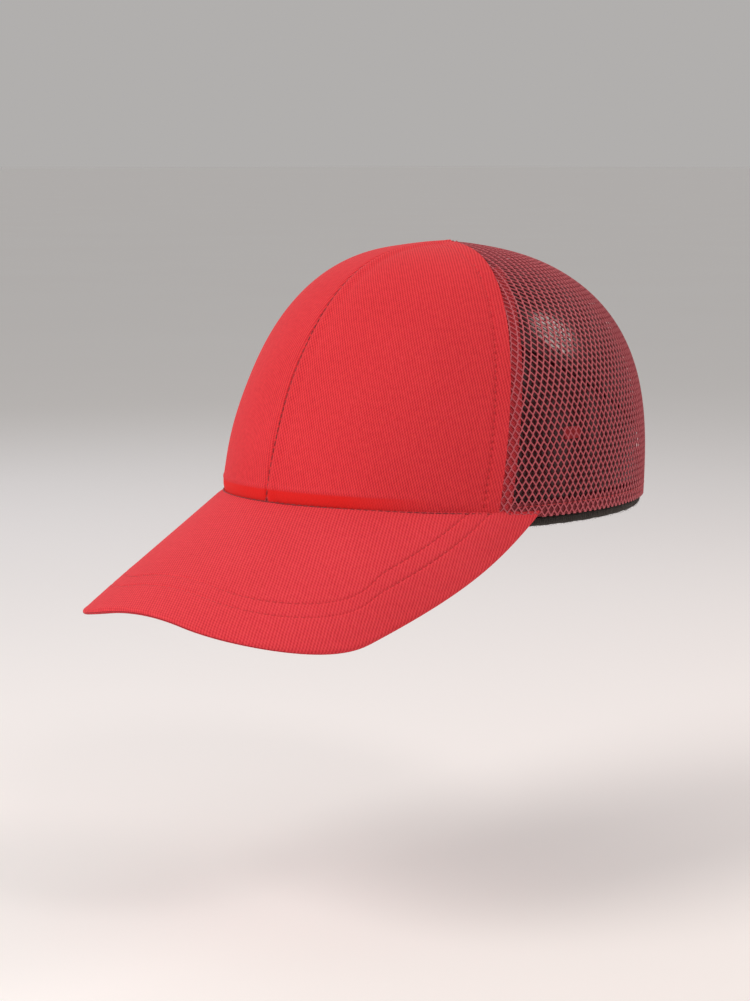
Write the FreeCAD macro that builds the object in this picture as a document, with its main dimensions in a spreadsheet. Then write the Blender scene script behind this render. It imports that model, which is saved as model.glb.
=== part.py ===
import FreeCAD, Part
import Sketcher
import math
import os

Vector = FreeCAD.Vector
Rotation = FreeCAD.Rotation
Placement = FreeCAD.Placement

# Trucker mesh cap with a safety insert, in millimetres.
# Forward is -Y, the wearer's left is +X and up is +Z.
# The origin is the middle of the head opening, at the level of the crown's lower edge.

doc = FreeCAD.newDocument("TruckerMeshCap")
sheet = doc.addObject("Spreadsheet::Sheet", "sizes")

# alias, value, what it sizes
SIZES = [
    ("crown_half_length", 108.5, "crown, outside, centre to front or back"),
    ("crown_half_width", 92, "crown, outside, centre to side"),
    ("crown_height", 120, "crown, outside, rim to top"),
    ("top_setback", 8.5, "how far the top sits behind the rim's middle"),
    ("front_rise_power", 1.7, "crown profile in front: how early it leans back"),
    ("front_reach_power", 3.0, "crown profile in front: how flat the top is"),
    ("rear_rise_power", 3.1, "crown profile behind: how upright it stays"),
    ("rear_reach_power", 1.87, "crown profile behind: how flat the top is"),
    ("side_seam_low", 65.7, "side seam at the rim, degrees round from the front"),
    ("side_seam_high", 73, "side seam at the top, degrees round from the front"),
    ("cloth", 1, "twill with its backing"),
    ("mesh_cloth", 0.8, "mesh"),
    ("tape", 0.5, "seam tape thickness"),
    ("tape_width", 13, "seam tape width"),
    ("tape_gap", 0.05, "gap between the panels and the seam tapes"),
    ("tape_end", 10, "how far below the top the seam tapes end, under the top patch"),
    ("arch_radius", 42, "opening at the back, radius"),
    ("arch_drop", 4, "opening at the back, how far its centre is below the rim"),
    ("binding_width", 6, "binding round the back opening"),
    ("binding_proud", 0.5, "how far the binding stands out of the crown"),
    ("visor_droop", 30, "visor slope below level, degrees"),
    ("visor_rise", 6.3, "how much higher the rim is over the visor's middle"),
    ("visor_reach", 179.5, "rim centre to the visor's front edge"),
    ("visor_half_width", 90.5, "visor, centre to side"),
    ("visor_side_radius", 560, "visor plan, side arcs"),
    ("visor_side_middle", 47, "how far forward of centre the side arcs are widest"),
    ("visor_corner_radius", 65, "visor plan, corner arcs"),
    ("visor_front_radius", 390, "visor plan, front arc"),
    ("visor_back_line", 22, "how far forward of centre the visor's corners end"),
    ("visor_cloth", 0.9, "visor cover thickness"),
    ("visor_board", 1.8, "visor board thickness"),
    ("shell_inset", 4.2, "gap from the crown's outside to the insert shell's outside"),
    ("shell_wall", 2.2, "insert shell wall"),
    ("shell_low", 1, "insert shell's lower edge above the rim"),
    ("shell_arch_gap", 3, "how much wider the insert's back opening is"),
    ("rib_proud", 1, "stiffening rib height"),
    ("rib_front", 60, "stiffening rib's front end, degrees round from the front"),
    ("rib_back", 128, "stiffening rib's back end, degrees round from the front"),
    ("rib_front_drop", 27, "stiffening rib's front end below the crown's top"),
    ("rib_back_up", 37, "stiffening rib's back end above the rim"),
    ("rib_width", 8, "stiffening rib width"),
    ("vent_width", 7, "insert vent slot width"),
    ("vent_length", 24, "insert vent slot length"),
    ("vent_low", 58, "lower end of the vent slots above the rim"),
    ("vent_pitch", 17, "vent slots, middle to middle"),
    ("vent_count", 5, "vent slots across the front, and behind"),
    ("glue", 0.2, "gap between shell and pads"),
    ("pad", 5, "foam pad thickness"),
    ("pad_low", 31, "pads' lower edge above the rim"),
    ("pad_high", 74, "side pads' upper edge above the rim"),
    ("crown_pad_drop", 21, "crown pad's lower edge below the top"),
    ("front_pad_round", 38, "front pad's ends, degrees round from the front"),
    ("side_pad_front", 52, "side pad's front end, degrees round from the front"),
    ("side_pad_back", 118, "side pad's back end, degrees round from the front"),
    ("rear_pad_round", 146, "rear pad's ends, degrees round from the front"),
    ("band", 2, "sweatband thickness"),
    ("band_height", 26, "sweatband's upper edge above the rim"),
    ("band_round", 153, "sweatband's ends, degrees round from the front"),
    ("roll_round", 152, "sweatband roll's ends, degrees round from the front"),
    ("band_inset", 1.9, "gap from the crown's outside to the sweatband's roll"),
    ("roll_height", 4.2, "height of the sweatband's roll below the crown's edge"),
    ("rim_gap", 0.3, "gap between crown edge and sweatband roll"),
    ("patch_radius", 12, "hook and loop patches at the top"),
    ("patch", 1, "hook or loop patch thickness"),
    ("patch_gap", 0.1, "gap between the hook and the loop patch"),
    ("patch_sink", 0.8, "loop patch below the cloth at the very top"),
    ("strap", 1.5, "snap strap thickness"),
    ("strap_gap", 0.4, "gap between the two strap halves"),
    ("strap_low", 3, "snap strap's lower edge above the rim"),
    ("strap_width", 16, "snap strap width"),
    ("strap_corner", 5, "snap strap's end corner radius"),
    ("strap_root", 33, "hinge line of the outer strap half, sideways from centre"),
    ("strap_tip", 5.6, "outer strap half's end, past the centre"),
    ("strap_end", 28, "inner strap half's end, past the centre"),
    ("strap_sewn", 56, "sewn ends of the strap, sideways from centre"),
    ("snap_pitch", 8, "snap pegs, middle to middle"),
    ("peg_radius", 1.6, "snap peg radius"),
    ("peg_play", 0.8, "radial gap between a peg and its hole"),
    ("peg_proud", 0.5, "how far a closed peg stands out of its hole"),
    ("label_width", 10, "blank label, along the shell"),
    ("label_height", 5.5, "blank label, up the shell"),
    ("label", 0.3, "blank label thickness"),
    ("label_round", 90, "blank label, degrees round from the front"),
    ("label_up", 36, "blank label's middle above the rim"),
    ("overrun", 10, "how far a cutting form runs past what it cuts"),
]
for row, (alias, value, note) in enumerate(SIZES, start=1):
    sheet.set("A%d" % row, note)
    sheet.set("B%d" % row, str(value))
    sheet.setAlias("B%d" % row, alias)
doc.recompute()


def mm(alias):
    """A size from the sheet."""
    return float(sheet.get(alias))


def bind(thing, **expressions):
    """Tie properties of an object to the sheet; sizes.NAME is written @NAME."""
    for name, expression in expressions.items():
        thing.setExpression(name.replace("__", "."), expression.replace("@", "sizes."))
    return thing


def add(kind, name, **properties):
    """Add a document object and set its plain properties."""
    thing = doc.addObject(kind, name)
    for key, value in properties.items():
        setattr(thing, key, value)
    return thing


# ---------------------------------------------------------------- crown form
# Every crown piece follows one form: round each level it is an ellipse, and
# upwards it is a superellipse whose powers change from the front to the back.
# A layer is the same form with its three half sizes reduced by its inset.

CROWN_LENGTH = mm("crown_half_length")
CROWN_WIDTH = mm("crown_half_width")
CROWN_HEIGHT = mm("crown_height")
SETBACK = mm("top_setback")
BACK = 180


def crown_reach(around, height_share):
    """Plan size of the form at a share of its height, from 1 at the rim to 0 at the top."""
    rearness = (1 - math.cos(math.radians(around))) / 2
    rise = mm("front_rise_power") * (1 - rearness) + mm("rear_rise_power") * rearness
    reach = mm("front_reach_power") * (1 - rearness) + mm("rear_reach_power") * rearness
    share = min(max(height_share, 0.0), 1.0)
    return (1 - share ** rise) ** (1 / reach)


def crown_point(around, height, inset):
    """Point of the layer at an angle round from the front; below the rim it goes straight down."""
    reach = crown_reach(around, height / (CROWN_HEIGHT - inset))
    side = (CROWN_WIDTH - inset) * math.sin(math.radians(around)) * reach
    ahead = (CROWN_LENGTH - inset) * math.cos(math.radians(around)) * reach
    return Vector(side, SETBACK * height / CROWN_HEIGHT - ahead, height)


def side_seam(height):
    """Angle of the left side seam, which leans back as it rises."""
    share = height / CROWN_HEIGHT
    return mm("side_seam_low") + (mm("side_seam_high") - mm("side_seam_low")) * share


def strip_angle(middle, offset, height):
    """Angle that lies an offset in millimetres round the crown from a middle angle."""
    radius = (CROWN_LENGTH + CROWN_WIDTH) / 2 * crown_reach(middle, height / CROWN_HEIGHT)
    return middle + math.degrees(offset / radius)


def back_angle(sideways):
    """Angle of the point at the back that lies a distance sideways from the centre."""
    return BACK - math.degrees(math.asin(sideways / CROWN_WIDTH))


def value_at(value, share):
    return value(share) if callable(value) else value


def solid_between(outside, inside, closed_top=True):
    """Solid between two surfaces, closed round their borders.

    Without closed_top the last border is a point, where both surfaces end.
    """
    out_u0, out_u1, out_v0, out_v1 = outside.bounds()
    in_u0, in_u1, in_v0, in_v1 = inside.bounds()
    borders = [
        (outside.uIso(out_u0), inside.uIso(in_u0)),
        (outside.uIso(out_u1), inside.uIso(in_u1)),
        (outside.vIso(out_v0), inside.vIso(in_v0)),
    ]
    if closed_top:
        borders.append((outside.vIso(out_v1), inside.vIso(in_v1)))
    faces = [outside.toShape(), inside.toShape()]
    for near, far in borders:
        faces.append(Part.makeRuledSurface(near.toShape(), far.toShape()))
    wall = Part.makeCompound(faces)
    wall.sewShape()
    solid = Part.makeSolid(wall.Shells[0])
    if solid.Volume < 0:
        solid.reverse()
    return solid


def skin(name, around_at, low, top, outer, inner, rows=12, columns=24):
    """Solid between two layers of the crown form.

    around_at(share, height) gives the angle across the piece. low and top are its
    heights, plain or as functions of the share across; with top None the piece
    runs up to the very top of the crown.
    """
    surfaces = []
    for inset in (outer, inner):
        net = []
        for i in range(rows + 1):
            across = i / rows
            bottom = value_at(low, across)
            line = []
            for k in range(columns + 1):
                up = k / columns
                if top is None:
                    height = bottom + (CROWN_HEIGHT - inset - bottom) * (1 - (1 - up) ** 3)
                else:
                    height = bottom + (value_at(top, across) - bottom) * up
                line.append(crown_point(around_at(across, height), height, inset))
            net.append(line)
        surface = Part.BSplineSurface()
        surface.interpolate(net)
        surfaces.append(surface)
    return add("Part::Feature", name, Shape=solid_between(*surfaces, closed_top=top is not None))


def mirrored(name, source):
    """The same piece on the wearer's other side."""
    return add("Part::Mirroring", name, Source=source, Base=Vector(0, 0, 0), Normal=Vector(1, 0, 0))


def cut(name, base, tool):
    return add("Part::Cut", name, Base=base, Tool=tool)


def common(name, *shapes):
    return add("Part::MultiCommon", name, Shapes=list(shapes))


def fuse(name, *shapes):
    return add("Part::MultiFuse", name, Shapes=list(shapes))


nodes = {}


def node(name, thing):
    """Keep a finished sub-part; its label names its file."""
    thing.Label = name
    nodes[name] = thing
    return thing


# ---------------------------------------------------------------- visor forms
# The visor is a flat crescent of board bent to an arch. Its straight lines run
# forward and down, so each of its layers lies on one elliptical cylinder, whose
# ellipse stands in the XZ plane over the rim's centre.

DROOP = math.radians(mm("visor_droop"))
AHEAD_AND_DOWN = Vector(0, -math.cos(DROOP), -math.sin(DROOP))


def visor_form(name, depth):
    """Elliptical cylinder that lies a depth below the visor's upper surface."""
    arch = add("Part::Ellipse", name + "_arch")
    arch.Placement = Placement(Vector(0, 0, 0), Rotation(Vector(1, 0, 0), 90))
    bind(arch,
         MajorRadius="@crown_half_width - (%s)" % depth,
         MinorRadius="@crown_half_length * tan(@visor_droop * 1deg) + @visor_rise - (%s)" % depth)
    form = add("Part::Extrusion", name, Base=arch, DirMode="Custom", Dir=AHEAD_AND_DOWN, Solid=True)
    return bind(form, LengthFwd="(@visor_reach + @overrun) / cos(@visor_droop * 1deg)")


LAYERS = {
    "top": "0",
    "board_top": "@visor_cloth",
    "middle": "@visor_cloth + @visor_board / 2",
    "board_bottom": "@visor_cloth + @visor_board",
    "bottom": "2 * @visor_cloth + @visor_board",
}
visor_forms = {layer: visor_form("visor_" + layer, depth) for layer, depth in LAYERS.items()}


def visor_point(side, ahead, depth):
    """Point a depth below the visor's upper surface, square to it, under a point of its plan."""
    turn = math.asin(side / CROWN_WIDTH)
    rise = CROWN_LENGTH * math.tan(DROOP) + mm("visor_rise")
    ahead -= depth * math.sin(DROOP) * math.cos(DROOP) * math.cos(turn)
    height = (rise - depth) * math.cos(turn) - ahead * math.tan(DROOP)
    return Vector((CROWN_WIDTH - depth) * math.sin(turn), -ahead, height)


def visor_outline(name, inset):
    """Form whose edge is the visor's outline, cut square to the bent board.

    The sketch draws the plan on the wearer's left: front, corner and side arcs.
    """
    front_radius = mm("visor_front_radius") - inset
    corner_radius = mm("visor_corner_radius") - inset
    side_radius = mm("visor_side_radius") - inset
    front_y = inset - mm("visor_reach")
    back_y = -mm("visor_back_line")
    front_middle = Vector(0, front_y + front_radius, 0)
    side_middle = Vector(mm("visor_half_width") - mm("visor_side_radius"), -mm("visor_side_middle"), 0)
    reach_front = front_radius - corner_radius
    reach_side = side_radius - corner_radius
    apart = side_middle - front_middle
    along = (reach_front ** 2 - reach_side ** 2 + apart.Length ** 2) / (2 * apart.Length)
    sideways = math.sqrt(reach_front ** 2 - along ** 2)
    line = Vector(apart).normalize()
    corner_middle = front_middle + line * along + Vector(-line.y, line.x, 0) * sideways
    toward_corner = corner_middle - front_middle
    toward_side = corner_middle - side_middle
    front_angle = math.atan2(toward_corner.y, toward_corner.x)
    side_angle = math.atan2(toward_side.y, toward_side.x)
    back_angle_on_side = math.asin((back_y - side_middle.y) / side_radius)

    sketch = add("Sketcher::SketchObject", name + "_plan")
    up = Vector(0, 0, 1)
    front = sketch.addGeometry(Part.ArcOfCircle(
        Part.Circle(front_middle, up, front_radius), -math.pi / 2, front_angle))
    corner = sketch.addGeometry(Part.ArcOfCircle(
        Part.Circle(corner_middle, up, corner_radius), front_angle, side_angle))
    side = sketch.addGeometry(Part.ArcOfCircle(
        Part.Circle(side_middle, up, side_radius), side_angle, back_angle_on_side))
    rule = Sketcher.Constraint
    sketch.addConstraint(rule("Tangent", front, 2, corner, 1))
    sketch.addConstraint(rule("Tangent", corner, 2, side, 1))
    sketch.addConstraint(rule("PointOnObject", front, 3, -2))
    sketch.addConstraint(rule("PointOnObject", front, 1, -2))
    sizes = {
        "front_radius": (rule("Radius", front, front_radius), "@visor_front_radius - %s" % inset),
        "corner_radius": (rule("Radius", corner, corner_radius), "@visor_corner_radius - %s" % inset),
        "side_radius": (rule("Radius", side, side_radius), "@visor_side_radius - %s" % inset),
        "reach": (rule("DistanceY", front, 1, -1, 1, -front_y), "@visor_reach - %s" % inset),
        "side_x": (rule("DistanceX", side, 3, -1, 1, -side_middle.x),
                   "@visor_side_radius - @visor_half_width"),
        "side_y": (rule("DistanceY", side, 3, -1, 1, -side_middle.y), "@visor_side_middle"),
        "back_y": (rule("DistanceY", side, 2, -1, 1, -back_y), "@visor_back_line"),
    }
    for size, (constraint, expression) in sizes.items():
        sketch.renameConstraint(sketch.addConstraint(constraint), size)
        bind(sketch, **{"Constraints__" + size: expression})
    doc.recompute()

    left = []
    for arc in (front, corner, side):
        left += sketch.Geometry[arc].toShape().discretize(11)[1:]
    outline = [Vector(-point.x, point.y, 0) for point in reversed(left)]
    outline += [Vector(0, front_y, 0)] + left
    hub = Vector(0, back_y, 0)
    surfaces = []
    for depth in (-mm("visor_cloth"), mm("visor_board") + 3 * mm("visor_cloth")):
        net = []
        for point in outline:
            fan = [hub + (point - hub) * share for share in (0.45, 0.6, 0.8, 1)]
            net.append([visor_point(place.x, -place.y, depth) for place in fan])
        surface = Part.BSplineSurface()
        surface.interpolate(net)
        surfaces.append(surface)
    return add("Part::Feature", name, Shape=solid_between(*surfaces))


outer_outline = visor_outline("visor_outline", 0)
board_outline = visor_outline("board_outline", mm("visor_cloth"))

# The visor's inner edge lies against the inside of the crown cloth. An ellipse's
# larger half size comes first, so this one turns if the crown is made wider than long.
rim_ellipse = add("Part::Ellipse", "rim_ellipse")
rim_ellipse.Placement.Rotation = Rotation(Vector(0, 0, 1), 90)
bind(rim_ellipse,
     MajorRadius="max(@crown_half_length; @crown_half_width) - @cloth",
     MinorRadius="min(@crown_half_length; @crown_half_width) - @cloth",
     Placement__Rotation__Angle="@crown_half_length > @crown_half_width ? 90deg : 0deg",
     Placement__Base__z="-@crown_height")
rim_core = add("Part::Extrusion", "rim_core", Base=rim_ellipse, DirMode="Custom", Dir=Vector(0, 0, 1),
               Solid=True)
bind(rim_core, LengthFwd="2 * @crown_height")


def visor_layer(name, upper, lower, outline):
    """Slab of the visor between two of its forms, inside an outline and in front of the rim."""
    slab = cut(name + "_slab", visor_forms[upper], visor_forms[lower])
    return cut(name, common(name + "_blank", slab, outline), rim_core)


board = node("visor_board", visor_layer("board", "board_top", "board_bottom", board_outline))
upper_cover = visor_layer("upper_cover", "top", "middle", outer_outline)
lower_cover = visor_layer("lower_cover", "middle", "bottom", outer_outline)
node("visor_cover_top", cut("visor_cover_top_cut", upper_cover, board))
node("visor_cover_under", cut("visor_cover_under_cut", lower_cover, board))

# The crown's lower front edge is trimmed to stand on the visor.
front_block = add("Part::Box", "front_block")
bind(front_block,
     Length="2 * (@crown_half_width + @overrun)",
     Width="@visor_reach",
     Height="2 * @crown_height",
     Placement__Base__x="-@crown_half_width - @overrun",
     Placement__Base__y="-@visor_back_line - @visor_reach",
     Placement__Base__z="-@crown_height")
visor_seat = common("visor_seat", visor_forms["top"], front_block)

# ---------------------------------------------------------------- back opening
# A round-topped opening at the back, over the snap strap.


def opening_form(name, radius):
    """Cylinder along Y through the back of the crown."""
    form = add("Part::Cylinder", name)
    form.Placement = Placement(Vector(0, 0, 0), Rotation(Vector(1, 0, 0), -90))
    return bind(form,
                Radius=radius,
                Height="@crown_half_length",
                Placement__Base__y="@crown_half_length / 3",
                Placement__Base__z="-@arch_drop")


opening = opening_form("back_opening", "@arch_radius")
binding_form = opening_form("binding_form", "@arch_radius + @binding_width")
insert_opening = opening_form("insert_opening", "@arch_radius + @shell_arch_gap")

# ---------------------------------------------------------------- crown panels
# Two twill panels meet at the centre front, and two mesh panels at the centre back.

below_rim = -mm("visor_rise")
front_blank = skin("front_panel_blank",
                   lambda across, height: across * side_seam(height),
                   below_rim, None, 0, mm("cloth"))
front_left = node("front_panel_left", cut("front_panel_trimmed", front_blank, visor_seat))
node("front_panel_right", mirrored("front_panel_mirror", front_left))

mesh_blank = skin("mesh_panel_blank",
                  lambda across, height: side_seam(height) + across * (BACK - side_seam(height)),
                  0, None, 0, mm("mesh_cloth"))
mesh_trimmed = cut("mesh_panel_trimmed", mesh_blank, visor_seat)
mesh_left = node("mesh_panel_left", cut("mesh_panel_opened", mesh_trimmed, binding_form))
node("mesh_panel_right", mirrored("mesh_panel_mirror", mesh_left))

# Tapes cover the seams inside. They end under the round patch at the top.
tape_half = mm("tape_width") / 2
on_tape = mm("cloth") + mm("tape_gap")
under_tape = on_tape + mm("tape")
tape_top = CROWN_HEIGHT - mm("tape_end")
tape_low = mm("visor_rise") / 2
arch_top = mm("arch_radius") - mm("arch_drop")


def seam_tape(name, middle_at, low):
    """Strip of tape of constant width along a seam."""
    return skin(name,
                lambda across, height: strip_angle(middle_at(height), tape_half * (2 * across - 1), height),
                low, tape_top, on_tape, under_tape, rows=4)


node("seam_tape_front", seam_tape("front_tape", lambda height: 0, tape_low))
side_tape = node("seam_tape_left", seam_tape("side_tape", side_seam, tape_low))
node("seam_tape_right", mirrored("side_tape_mirror", side_tape))
node("seam_tape_back", seam_tape("back_tape", lambda height: BACK, arch_top + mm("binding_width")))

# The binding wraps the edge of the back opening.
binding_side = mm("arch_radius") + 2 * mm("binding_width")
binding_skin = skin("binding_skin",
                    lambda across, height: back_angle(binding_side * (1 - 2 * across)),
                    0, arch_top + 2 * mm("binding_width"), -mm("binding_proud"), under_tape)
binding_ring = cut("binding_ring", binding_form, opening)
node("rear_binding", common("binding", binding_skin, binding_ring))

# ---------------------------------------------------------------- insert shell
# A moulded bump shell slides up into the crown. Ribs stiffen its sides, and slots
# under the twill and at the back let air through.

shell_out = mm("shell_inset")
shell_in = shell_out + mm("shell_wall")
shell_half = skin("shell_half", lambda across, height: BACK * across,
                  mm("shell_low"), None, shell_out, shell_in, rows=20)
shell_dome = fuse("shell_dome", shell_half, mirrored("shell_half_mirror", shell_half))

rib_front = mm("rib_front")
rib_span = mm("rib_back") - rib_front
rib_top = CROWN_HEIGHT - mm("rib_front_drop")
rib_fall = rib_top - mm("rib_back_up")


def rib_height(across):
    """Middle of the rib, which sweeps down from the side seam to the back."""
    return rib_top - rib_fall * across


rib = skin("rib",
           lambda across, height: rib_front + rib_span * across,
           lambda across: rib_height(across) - mm("rib_width") / 2,
           lambda across: rib_height(across) + mm("rib_width") / 2,
           shell_out - mm("rib_proud"), shell_out + mm("shell_wall") / 2, columns=4)
shell_ribbed = fuse("shell_ribbed", shell_dome, rib, mirrored("rib_mirror", rib))
shell_opened = cut("shell_opened", shell_ribbed, insert_opening)

vents = add("PartDesign::Body", "vent_form")
vent_sketch = vents.newObject("Sketcher::SketchObject", "vent_slot")
upright = [plane for plane in vents.Origin.OriginFeatures if plane.Role == "XZ_Plane"][0]
vent_sketch.AttachmentSupport = [(upright, "")]
vent_sketch.MapMode = "FlatFace"
half_slot = mm("vent_width") / 2
first_vent = (mm("vent_count") - 1) / 2 * mm("vent_pitch")
low_middle = Vector(-first_vent, mm("vent_low") + half_slot, 0)
high_middle = low_middle + Vector(0, mm("vent_length") - mm("vent_width"), 0)
slot_bottom = vent_sketch.addGeometry(Part.ArcOfCircle(
    Part.Circle(low_middle, Vector(0, 0, 1), half_slot), math.pi, 2 * math.pi))
slot_right = vent_sketch.addGeometry(Part.LineSegment(
    low_middle + Vector(half_slot, 0, 0), high_middle + Vector(half_slot, 0, 0)))
slot_top = vent_sketch.addGeometry(Part.ArcOfCircle(
    Part.Circle(high_middle, Vector(0, 0, 1), half_slot), 0, math.pi))
slot_left = vent_sketch.addGeometry(Part.LineSegment(
    high_middle - Vector(half_slot, 0, 0), low_middle - Vector(half_slot, 0, 0)))
for first, second in ((slot_bottom, slot_right), (slot_right, slot_top),
                      (slot_top, slot_left), (slot_left, slot_bottom)):
    vent_sketch.addConstraint(Sketcher.Constraint("Tangent", first, 2, second, 1))
vent_sketch.addConstraint(Sketcher.Constraint("Vertical", slot_right))
vent_sizes = {
    "slot_radius": (Sketcher.Constraint("Radius", slot_bottom, half_slot), "@vent_width / 2"),
    "slot_run": (Sketcher.Constraint("DistanceY", slot_bottom, 3, slot_top, 3, high_middle.y - low_middle.y),
                 "@vent_length - @vent_width"),
    "slot_up": (Sketcher.Constraint("DistanceY", -1, 1, slot_bottom, 3, low_middle.y),
                "@vent_low + @vent_width / 2"),
    "slot_over": (Sketcher.Constraint("DistanceX", slot_bottom, 3, -1, 1, first_vent),
                  "(@vent_count - 1) / 2 * @vent_pitch"),
}
for size, (constraint, expression) in vent_sizes.items():
    vent_sketch.renameConstraint(vent_sketch.addConstraint(constraint), size)
    bind(vent_sketch, **{"Constraints__" + size: expression})
vent_pad = vents.newObject("PartDesign::Pad", "vent_pad")
vent_pad.Profile = vent_sketch
vent_pad.Midplane = True
bind(vent_pad, Length="2 * (@crown_half_length + @overrun)")
doc.recompute()
vent_row = vents.newObject("PartDesign::LinearPattern", "vent_row")
vent_row.Originals = [vent_pad]
vent_row.Direction = (vent_sketch, ["H_Axis"])
bind(vent_row, Occurrences="@vent_count", Length="(@vent_count - 1) * @vent_pitch")
vents.Tip = vent_row
node("insert_shell", cut("shell_vented", shell_opened, vents))

# ---------------------------------------------------------------- pads
# Closed-cell foam pads are glued inside the shell, clear of its slots.

pad_out = shell_in + mm("glue")
pad_in = pad_out + mm("pad")
front_pad_round = mm("front_pad_round")
side_pad_front = mm("side_pad_front")
side_pad_span = mm("side_pad_back") - side_pad_front
rear_pad_round = mm("rear_pad_round")
pad_under_vents = mm("vent_low") - mm("glue")
node("front_pad", skin("front_foam",
                       lambda across, height: front_pad_round * (2 * across - 1),
                       mm("pad_low"), pad_under_vents, pad_out, pad_in))
side_pad = node("side_pad_left", skin("side_foam",
                                      lambda across, height: side_pad_front + side_pad_span * across,
                                      mm("pad_low"), mm("pad_high"), pad_out, pad_in))
node("side_pad_right", mirrored("side_foam_mirror", side_pad))
rear_pad_low = arch_top + mm("shell_arch_gap") + mm("glue")
node("rear_pad", skin("rear_foam",
                      lambda across, height: rear_pad_round + 2 * (BACK - rear_pad_round) * across,
                      rear_pad_low, pad_under_vents, pad_out, pad_in))
crown_foam = skin("crown_foam", lambda across, height: BACK * across,
                  CROWN_HEIGHT - mm("crown_pad_drop"), None, pad_out, pad_in, rows=20)
node("crown_pad", fuse("crown_foam_whole", crown_foam, mirrored("crown_foam_mirror", crown_foam)))

# ---------------------------------------------------------------- sweatband
# A knitted band is folded round the shell's lower edge. Its roll shows below the mesh.

band_round = mm("band_round")
roll_round = mm("roll_round")
roll_low = -mm("rim_gap") - mm("roll_height")
band_in = pad_out + mm("band")
band_skin = skin("band_skin", lambda across, height: band_round * (2 * across - 1),
                 roll_low / 2, mm("band_height"), pad_out, band_in, rows=30, columns=4)
roll_skin = skin("roll_skin", lambda across, height: roll_round * (2 * across - 1),
                 roll_low, -mm("rim_gap"), mm("band_inset"), (pad_out + band_in) / 2, rows=30, columns=4)
node("sweatband", fuse("sweatband_whole", band_skin, roll_skin))

# ---------------------------------------------------------------- top patches
# A loop patch under the crown's top grips a hook patch on the shell.


def top_patch(name, top_height):
    """Round patch under the highest point, which sits behind the middle."""
    disc = add("Part::Cylinder", name)
    return bind(disc,
                Radius="@patch_radius",
                Height="@patch",
                Placement__Base__y="@top_setback",
                Placement__Base__z="%s - @patch" % top_height)


loop_top = "@crown_height - @cloth - @patch_sink"
node("crown_loop_patch", top_patch("loop_disc", loop_top))
node("shell_hook_patch", top_patch("hook_disc", loop_top + " - @patch - @patch_gap"))

# ---------------------------------------------------------------- snap strap
# Two plastic halves close the back opening. The outer one has holes and swings
# out about its sewn root; the inner one carries the pegs.

inner_out = under_tape
inner_in = inner_out + mm("strap")
outer_in = inner_out - mm("strap_gap")
outer_out = outer_in - mm("strap")
strap_low = mm("strap_low")
strap_top = strap_low + mm("strap_width")
strap_middle = (strap_low + strap_top) / 2


def strap_skin(name, left, right, outer, inner):
    """Length of strap between two distances sideways, the wearer's left being positive."""
    return skin(name,
                lambda across, height: back_angle(left + (right - left) * across),
                strap_low, strap_top, outer, inner, columns=4)


def rounded_end(name, strap, tip_x, body_x):
    """Strap whose free end at tip_x has round corners."""
    nearly = 0.01
    block = add("Part::Box", name + "_block")
    block.Placement.Base = Vector(min(tip_x, body_x), CROWN_LENGTH / 2, strap_low)
    block.Length = abs(body_x - tip_x)
    bind(block, Width="@crown_half_length", Height="@strap_width")
    doc.recompute()
    corners = []
    for index, edge in enumerate(block.Shape.Edges, start=1):
        middle = edge.CenterOfMass
        runs_along_y = abs(edge.tangentAt(edge.FirstParameter).y) > 1 - nearly
        if runs_along_y and abs(middle.x - tip_x) < nearly:
            corners.append((index, mm("strap_corner"), mm("strap_corner")))
    rounded = add("Part::Fillet", name + "_corners", Base=block, Edges=corners)
    return common(name, strap, rounded)


def strap_pin(name, sideways, first_inset, last_inset, radius):
    """Round pin square to the strap, from one inset out to another."""
    start = crown_point(back_angle(sideways), strap_middle, first_inset)
    end = crown_point(back_angle(sideways), strap_middle, last_inset)
    outward = Vector(sideways / CROWN_WIDTH ** 2, end.y / CROWN_LENGTH ** 2, 0).normalize()
    pin = add("Part::Cylinder", name)
    pin.Placement = Placement(start, Rotation(Vector(0, 0, 1), outward))
    pin.Height = (end - start).dot(outward)
    return bind(pin, Radius=radius)


pitch = mm("snap_pitch")
closed_spots = [pitch * step for step in (3, 2, 1, 0)]
open_spots = [pitch * step for step in (-1, -2, -3)]

inner_left = mm("strap_end")
sewn = mm("strap_sewn")
root_x = mm("strap_root")
inner_strip = strap_skin("inner_strip", inner_left, -sewn, inner_out, inner_in)
inner_strap = rounded_end("inner_strap", inner_strip, inner_left, -sewn)
pegs = []
for number, spot in enumerate(closed_spots + open_spots, start=1):
    pegs.append(strap_pin("peg_%d" % number, spot, (inner_out + inner_in) / 2,
                          outer_out - mm("peg_proud"), "@peg_radius"))
node("snap_strap_right", fuse("inner_strap_with_pegs", inner_strap, *pegs))

outer_strip = strap_skin("outer_strip", root_x, -mm("strap_tip"), outer_out, outer_in)
outer_strap = rounded_end("outer_strap", outer_strip, -mm("strap_tip"), CROWN_WIDTH / 2)
holes = []
for number, spot in enumerate(closed_spots, start=1):
    holes.append(strap_pin("hole_%d" % number, spot, inner_in, outer_out - mm("strap"),
                           "@peg_radius + @peg_play"))
hole_forms = add("Part::Compound", "hole_forms", Links=holes)
outer_holed = cut("outer_strap_holed", outer_strap, hole_forms)
root_low = crown_point(back_angle(root_x), strap_low, (outer_out + outer_in) / 2)
lean = Vector(0, SETBACK, CROWN_HEIGHT)
root_bead = add("Part::Cylinder", "root_bead")
root_bead.Placement = Placement(root_low, Rotation(Vector(0, 0, 1), lean))
bind(root_bead, Radius="@strap / 2", Height="@strap_width")
node("snap_strap_left", fuse("outer_strap_whole", outer_holed, root_bead))

node("strap_tab_left", strap_skin("sewn_tab", sewn, root_x - mm("strap"), inner_out, inner_in))

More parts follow.
